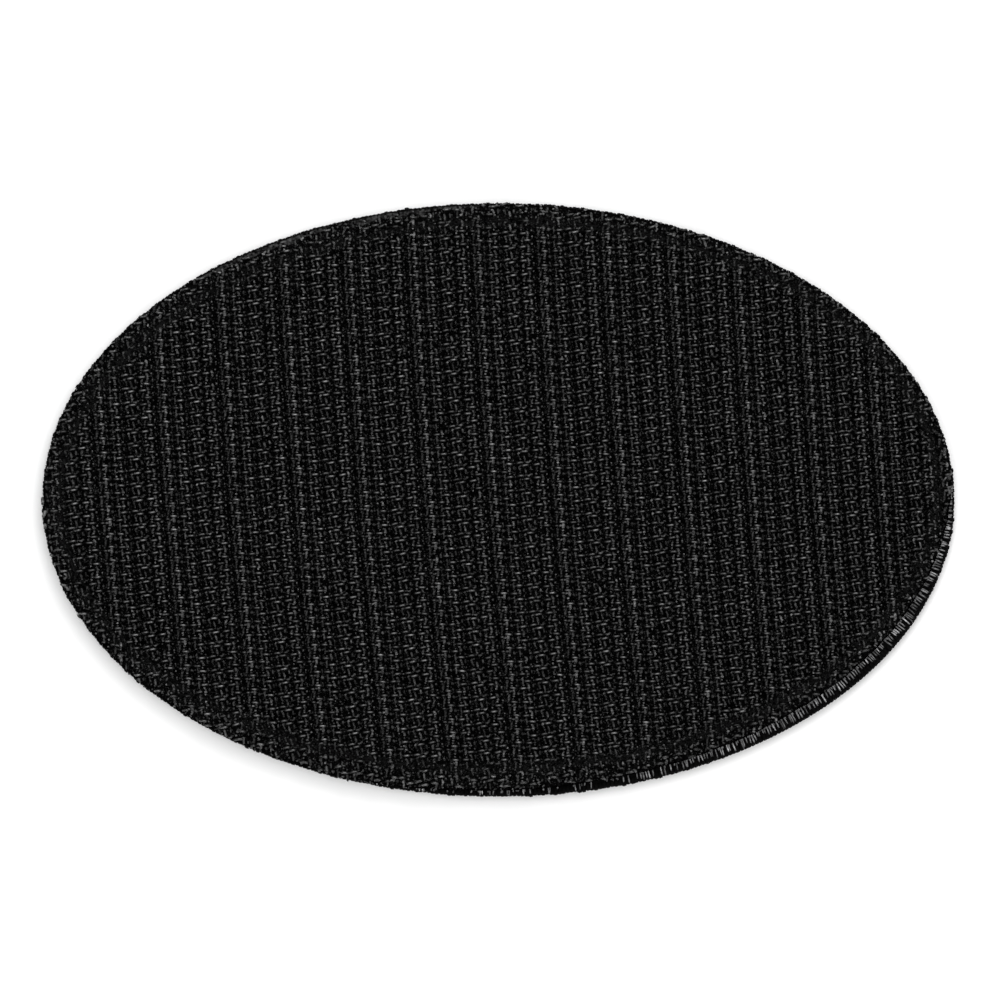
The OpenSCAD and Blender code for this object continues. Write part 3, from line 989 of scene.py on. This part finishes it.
class PATCH_OT_border(bpy.types.Operator):
    """Stitched border: its core, the threads wrapped round its edge and the bobbin threads on its back"""

    bl_idname = "patch.border"
    bl_label = "Border"

    # How square the border's section is: 1 is round, and less is squarer
    roundness = 0.6
    sections = 192
    core_sides = 14
    core_inset = 0.16 * MM
    # Thickness of a wrapped thread, and the turns of the section that it starts and ends at and whose tones
    # are given, in degrees from straight out, with its tone at each: painted shade, which leaves the back
    # that faces up far darker than the wall and the front and dims its gloss there
    wrap_thread = 0.22 * MM
    wrap_rings = 10
    wrap_span = (-165, 62)
    painted_shade_turns = (-165, -40, -5, 12)
    painted_shade_tones = (14, 12, 4, 1)
    # Slant of a wrapped thread as a share of the pitch, and its unevenness along the edge
    wrap_slant = 0.35
    wrap_sway = 0.02 * MM
    # Range of the distance from one swollen place of the edge to the next, the reach of one, and the
    # heights that they come in with their shares, in millimetres
    swell_gaps, swell_reach = (0.7, 2.1), 0.3 * MM
    swell_heights, swell_shares = (0.03, 0.07, 0.12), (0.35, 0.4, 0.25)
    # Distance between the bobbin threads of one bundle, the range of the distance to the next bundle in
    # millimetres, and the directions in degrees from +X between which they grow dense
    bobbin_gap, bundle_gaps = 0.22 * MM, (0.3, 0.46)
    bobbin_fade = (-80, -66)
    # Threads, reaches in millimetres and tones that the bundles come in, each with their shares
    bundle_threads = ((1, 2, 3), (0.45, 0.4, 0.15))
    bundle_reaches = ((0.5, 0.68, 0.86, 1.05), (0.2, 0.35, 0.3, 0.15))
    bundle_tones = ((0.4, 0.75, 1.1, 1.7), (0.3, 0.35, 0.2, 0.15))
    # Tones of a bobbin thread from its outer end to its inner end
    bobbin_tones = (0.6, 0.9, 1.0, 0.95, 0.75, 0.5)
    # Number of spots round the edge that a bobbin thread may start from
    edge_spots = 4000

    def section_point(self, turn, shrink):
        """Point on the border's rounded section: its distance in from the edge and its height."""

        def reach(value):
            return np.sign(value) * np.abs(value) ** self.roundness

        inset = BORDER_WIDTH / 2 - (BORDER_WIDTH / 2 - shrink) * reach(np.cos(turn))
        height = BORDER_HEIGHT / 2 + (BORDER_HEIGHT / 2 - shrink) * reach(np.sin(turn))
        return inset, height

    def top_height(self, inset):
        """Height of the border's back at a distance in from the edge."""
        across = np.clip(1 - inset / (BORDER_WIDTH / 2), 0, 1) ** (1 / self.roundness)
        return BORDER_HEIGHT / 2 * (1 + np.sqrt(1 - across**2) ** self.roundness)

    def edge_places(self, count):
        """Evenly spaced points on the patch's edge, with the directions square to it and along it."""
        turns, travel = oval_travel(HALF_LENGTH, HALF_WIDTH)
        rim, normal = oval_edge(np.interp(np.arange(count) * travel[-1] / count, travel, turns))
        return rim, normal, np.stack([-normal[:, 1], normal[:, 0]], axis=1)

    def core(self, material):
        """Padded core of the border under its threads."""
        rim, normal, _ = self.edge_places(self.sections)
        turn = (np.arange(self.core_sides) + 0.5) * 2 * math.pi / self.core_sides
        inset, height = self.section_point(turn, self.core_inset)
        points = rim[:, None, :] - normal[:, None, :] * inset[None, :, None]
        points = np.dstack([points, np.broadcast_to(height, points.shape[:2])]).reshape(-1, 3)
        wall = grid_faces(self.sections, self.core_sides, closed_rows=True, closed_columns=True)
        outward = wall[:, [0, 3, 2, 1]]
        piece = new_object("border_core", points, [outward], tones=np.full(len(points), 0.7))
        return dress(piece, material, "border_thread", "edge_border")

    def wraps(self, material, length, pitch, rng):
        """Threads that wrap the border from the inner side of the front over the edge to the back."""
        count = int(length / pitch)
        rim, normal, tangent = self.edge_places(count)
        turn = np.linspace(*np.radians(self.wrap_span), self.wrap_rings)
        inset, height = self.section_point(turn, self.wrap_thread / 2)
        slant = self.wrap_slant * pitch * np.linspace(-1, 1, len(turn))
        sway = rng.normal(0, self.wrap_sway, (count, 1))
        flat = (
            rim[:, None, :]
            - normal[:, None, :] * inset[None, :, None]
            + tangent[:, None, :] * (slant[None, :] + sway)[..., None]
        )
        place = np.arange(count) * pitch
        peaks = np.cumsum(rng.uniform(*self.swell_gaps, int(length / MM))) * MM
        peak_heights = rng.choice(self.swell_heights, p=self.swell_shares, size=len(peaks))
        nearness = np.exp(-(((place[:, None] - peaks) / self.swell_reach) ** 2))
        bumps = (peak_heights * nearness).sum(axis=1)
        bare = bare_border(normal[:, 0], normal[:, 1])
        calm = smooth_step(bare, 0.75 * BARE_WIDTH, 0.9 * BARE_WIDTH)
        swell = ((bumps + rng.normal(0, 0.02, count)) * (1 - 0.9 * calm) + 0.06) * MM
        flat = flat + normal[:, None, :] * (swell[:, None] * np.cos(turn / 1.2)[None, :])[..., None]
        paths = np.dstack([flat, np.broadcast_to(height, flat.shape[:2])])
        across = np.concatenate([tangent, np.zeros((count, 1))], axis=1)
        # Painted shade: the back is darkest, the wall and the front lighter
        painted_shade = np.interp(np.degrees(turn), self.painted_shade_turns, self.painted_shade_tones)
        tones = rng.uniform(0.7, 1.3, (count, 1)) * painted_shade[None, :]
        half = self.wrap_thread / 2
        piece = thread_object("border_wraps", paths, pitch * 0.6, half, 5, tones, across=across)
        return dress(piece, material, "border_thread")

    def bobbin_threads(self, length, rng):
        """Places round the edge, reaches, tones and half widths of the bundled threads and of the stubs
        between them, with reaches and half widths in millimetres."""
        threads = []
        place = 0.0
        while place < length:
            count, bundle_reach, bundle_tone = (
                rng.choice(values, p=shares)
                for values, shares in (self.bundle_threads, self.bundle_reaches, self.bundle_tones)
            )
            for k in range(int(count)):
                spot = place + k * self.bobbin_gap + rng.normal(0, 0.03 * MM)
                reach = bundle_reach + rng.normal(0, 0.06)
                threads.append((spot, reach, bundle_tone * rng.uniform(0.6, 1.2), rng.uniform(0.06, 0.085)))
            for _ in range(2):
                spot = place + rng.uniform(0.0, 0.5) * MM
                reach = rng.uniform(0.1, 0.26)
                threads.append((spot, reach, rng.uniform(0.4, 1.0), rng.uniform(0.06, 0.09)))
            place += (int(count) - 1) * self.bobbin_gap + rng.uniform(*self.bundle_gaps) * MM
        return np.array(threads).T

    def bobbin(self, material, length, rng):
        """Bundles and stubs of greyer bobbin thread on the border's back, where the tape leaves it bare."""
        spots, reaches, tones, halves = self.bobbin_threads(length, rng)
        index = (spots / length * self.edge_spots).astype(int) % self.edge_spots
        rim, normal, tangent = (part[index] for part in self.edge_places(self.edge_spots))
        bare = bare_border(normal[:, 0], normal[:, 1])
        dense = smooth_step(np.degrees(np.arctan2(normal[:, 1], normal[:, 0])), *self.bobbin_fade)
        shown = (bare > 0.04 * MM) & (rng.random(len(bare)) < 0.3 + 0.7 * dense)
        rim, normal, tangent, bare = rim[shown], normal[shown], tangent[shown], bare[shown]
        reaches, tones, halves = reaches[shown] * MM, tones[shown], halves[shown] * MM
        count = len(rim)
        share = np.linspace(0, 1, len(self.bobbin_tones))
        inner = EDGE_INSET + bare + 0.25 * MM
        outer = np.maximum(EDGE_INSET + bare - reaches, rng.uniform(0.1, 0.3, count) * MM)
        inset = outer[:, None] + (inner - outer)[:, None] * share[None, :]
        slide = rng.normal(-0.02 * MM, 0.06 * MM, count)[:, None] * (1 - share[None, :])
        flat = rim[:, None, :] - normal[:, None, :] * inset[..., None]
        flat = flat + tangent[:, None, :] * slide[..., None]
        height = np.minimum(self.top_height(inset) + 0.03 * MM, border_high.z - 0.02 * MM)
        height[:, 0] -= 0.1 * MM
        half = halves[:, None]
        tones = tones[:, None] * np.array(self.bobbin_tones)[None, :]
        piece = thread_object("border_bobbin", np.dstack([flat, height]), half, half, 5, tones)
        return dress(piece, material, "border_thread")

    def execute(self, context):
        sizes = context.scene.patch_sizes
        colours = context.scene.patch_colours
        rng = np.random.default_rng(RANDOM_SEED + 4)
        black = thread_material(
            "Border thread", colours.border, 0.8, 0.05, (6, 1.2, 0.012, 0.0, 4000), (0.3, 0.5, 0.0, 0.004)
        )
        grey = thread_material(
            "Bobbin thread", colours.bobbin, 0.6, 0.3, (4, 2.0, 0.008, 0.02, 4000), (0.2, 0.6, 0.0)
        )
        length = oval_travel(HALF_LENGTH, HALF_WIDTH)[1][-1]
        self.core(black)
        self.wraps(black, length, sizes.border_pitch, rng)
        self.bobbin(grey, length, rng)
        return {"FINISHED"}


class PATCH_OT_face(bpy.types.Operator):
    """Plain twill face, which lies down with diagonal ribs"""

    bl_idname = "patch.face"
    bl_label = "Face"

    along_steps = 5
    rib_points = 4
    rib_height = 0.05 * MM
    slant = math.radians(56)

    def rib_rows(self, half_length, half_width, pitch):
        """Points of the rows that run along the ribs, each from edge to edge of the face's oval."""
        across = np.array([math.cos(self.slant), math.sin(self.slant)])
        along = np.array([-math.sin(self.slant), math.cos(self.slant)])
        reach = math.hypot(half_length * across[0], half_width * across[1])
        rows = int(2 * reach / pitch) * self.rib_points + 1
        offset = np.linspace(-1, 1, rows) * reach * 0.9995
        squash = np.array([1 / half_length**2, 1 / half_width**2])
        # A row meets the oval where square * travel**2 + linear * travel + plain is 0
        square = (along**2 * squash).sum()
        linear = 2 * offset * (along * across * squash).sum()
        plain = offset**2 * (across**2 * squash).sum() - 1
        root = np.sqrt(np.maximum(linear**2 - 4 * square * plain, 0))
        low, high = (-linear - root) / (2 * square), (-linear + root) / (2 * square)
        share = (1 - np.cos(np.linspace(0, math.pi, self.along_steps))) / 2
        travel = low[:, None] + (high - low)[:, None] * share[None, :]
        return offset[:, None, None] * across + travel[..., None] * along

    def twill(self, rows_flat):
        """Closed mesh of the face, ribbed on the front and flat on the back."""
        rows, steps = rows_flat.shape[:2]
        rib = np.cos(2 * math.pi * np.arange(rows) / self.rib_points) * self.rib_height
        front = np.broadcast_to((face_low.z + self.rib_height - rib)[:, None], (rows, steps))
        lower = np.dstack([rows_flat, front]).reshape(-1, 3)
        upper = np.dstack([rows_flat, np.full((rows, steps), face_high.z)]).reshape(-1, 3)
        quads = grid_faces(rows, steps)
        rim = np.concatenate(
            [
                np.arange(0, (rows - 1) * steps, steps),
                (rows - 1) * steps + np.arange(steps - 1),
                np.arange(rows * steps - 1, steps - 1, -steps),
                np.arange(steps - 1, 0, -1),
            ]
        )
        total = len(lower)
        wall = np.stack([rim, np.roll(rim, -1), np.roll(rim, -1) + total, rim + total], axis=1)
        groups = [quads, quads[:, ::-1] + total, wall]
        return new_object("face_twill", np.vstack([lower, upper]), groups, tones=np.ones(2 * total))

    def execute(self, context):
        colours = context.scene.patch_colours
        pitch = context.scene.patch_sizes.twill_pitch
        half_length, half_width = face_high.x, face_high.y
        material = cloth_material(
            "Face twill", colours.face, 0.75, 0.3, pitch / 2, self.slant, 0.4, (0.2, 0.3, 0.0)
        )
        piece = self.twill(self.rib_rows(half_length, half_width, pitch))
        dress(piece, material, "face_cloth", "patch_face")
        return {"FINISHED"}


# Stage


class PATCH_OT_stage(bpy.types.Operator):
    """Pale floor, soft light from above and the camera straight over the patch"""

    bl_idname = "patch.stage"
    bl_label = "Stage"

    floor_half = 1.5
    camera_height = 1.5
    view_width = 97.66 * MM
    view_middle = (0.15 * MM, -0.012 * MM)
    sensor = 36.0
    lamp_place = (0.061, 0.233, 0.257)

    def floor(self, colour):
        """Plain pale floor."""
        half = self.floor_half
        points = np.array([[-half, -half, 0], [half, -half, 0], [half, half, 0], [-half, half, 0]])
        floor = new_object("floor", points, [np.array([[0, 1, 2, 3]])])
        material = bpy.data.materials.new("Floor")
        material.use_nodes = True
        shader = material.node_tree.nodes["Principled BSDF"]
        set_inputs(shader, {"Base Color": colour, "Roughness": 0.9, "Specular IOR Level": 0.1})
        floor.data.materials.append(material)

    def sky(self):
        """Light that is strongest overhead and fades towards the horizon, over a pale backdrop."""
        world = bpy.data.worlds.new("Soft light")
        bpy.context.scene.world = world
        world.use_nodes = True
        tree = world.node_tree
        tree.nodes.clear()
        out = tree.nodes.new("ShaderNodeOutputWorld")
        place = tree.nodes.new("ShaderNodeTexCoord")
        split = tree.nodes.new("ShaderNodeSeparateXYZ")
        tree.links.new(place.outputs["Generated"], split.inputs[0])
        rise = math_node(tree, "MAXIMUM", split.outputs["Z"], 0.0)
        curve = math_node(tree, "POWER", rise, 3.0)
        strength = math_node(tree, "ADD", math_node(tree, "MULTIPLY", curve, 3.3), 0.14)
        light = tree.nodes.new("ShaderNodeBackground")
        tree.links.new(strength, light.inputs["Strength"])
        backdrop = tree.nodes.new("ShaderNodeBackground")
        backdrop.inputs["Color"].default_value = (0.9, 0.9, 0.9, 1.0)
        path = tree.nodes.new("ShaderNodeLightPath")
        mix = tree.nodes.new("ShaderNodeMixShader")
        tree.links.new(path.outputs["Is Camera Ray"], mix.inputs["Fac"])
        tree.links.new(light.outputs[0], mix.inputs[1])
        tree.links.new(backdrop.outputs[0], mix.inputs[2])
        tree.links.new(mix.outputs[0], out.inputs["Surface"])

    def lamp(self):
        """Broad lamp that lights the patch from the upper right."""
        data = bpy.data.lights.new("Key lamp", "AREA")
        data.shape = "DISK"
        data.size = 0.23
        data.energy = 0.52
        lamp = bpy.data.objects.new("key_lamp", data)
        bpy.context.scene.collection.objects.link(lamp)
        lamp.location = self.lamp_place
        lamp.rotation_euler = (-Vector(self.lamp_place)).to_track_quat("-Z", "Y").to_euler()

    def camera(self):
        """Camera over the patch, with the patch as large in the frame as in the photograph."""
        data = bpy.data.cameras.new("Camera")
        data.sensor_width = self.sensor
        data.lens = self.sensor * (self.camera_height - border_high.z / 2) / self.view_width
        data.clip_start = 0.01
        camera = bpy.data.objects.new("camera", data)
        bpy.context.scene.collection.objects.link(camera)
        camera.location = (*self.view_middle, self.camera_height)
        bpy.context.scene.camera = camera

    def execute(self, context):
        self.floor(context.scene.patch_colours.floor)
        self.sky()
        self.lamp()
        self.camera()
        settings = context.scene.view_settings
        settings.view_transform = "Standard"
        settings.exposure = 0.0
        return {"FINISHED"}


class PATCH_PT_panel(bpy.types.Panel):
    """Steps that build the patch, in their order, with its sizes and colours"""

    bl_label = "Patch"
    bl_idname = "PATCH_PT_panel"
    bl_space_type = "VIEW_3D"
    bl_region_type = "UI"
    bl_category = "Patch"

    def draw(self, context):
        for group in (context.scene.patch_sizes, context.scene.patch_colours):
            for name in group.bl_rna.properties.keys():
                if name not in ("rna_type", "name"):
                    self.layout.prop(group, name)
        for operator in OPERATORS:
            self.layout.operator(operator.bl_idname)


OPERATORS = (
    PATCH_OT_stage,
    PATCH_OT_ground_cloth,
    PATCH_OT_warp_yarns,
    PATCH_OT_hooks,
    PATCH_OT_seam,
    PATCH_OT_border,
    PATCH_OT_face,
)
CLASSES = (PatchSizes, PatchColours, *OPERATORS, PATCH_PT_panel)


def register():
    """Registers the classes and hangs their settings on the scene."""
    for item in CLASSES:
        bpy.utils.register_class(item)
    bpy.types.Scene.patch_sizes = bpy.props.PointerProperty(type=PatchSizes)
    bpy.types.Scene.patch_colours = bpy.props.PointerProperty(type=PatchColours)


def unregister():
    """Takes the settings and classes away again."""
    del bpy.types.Scene.patch_sizes
    del bpy.types.Scene.patch_colours
    for item in reversed(CLASSES):
        bpy.utils.unregister_class(item)


def main():
    """Builds the stage and every piece in order."""
    register()
    bpy.ops.patch.stage()
    bpy.ops.patch.ground_cloth()
    bpy.ops.patch.warp_yarns()
    bpy.ops.patch.hooks()
    bpy.ops.patch.seam()
    bpy.ops.patch.border()
    bpy.ops.patch.face()


if __name__ == "__main__":
    main()
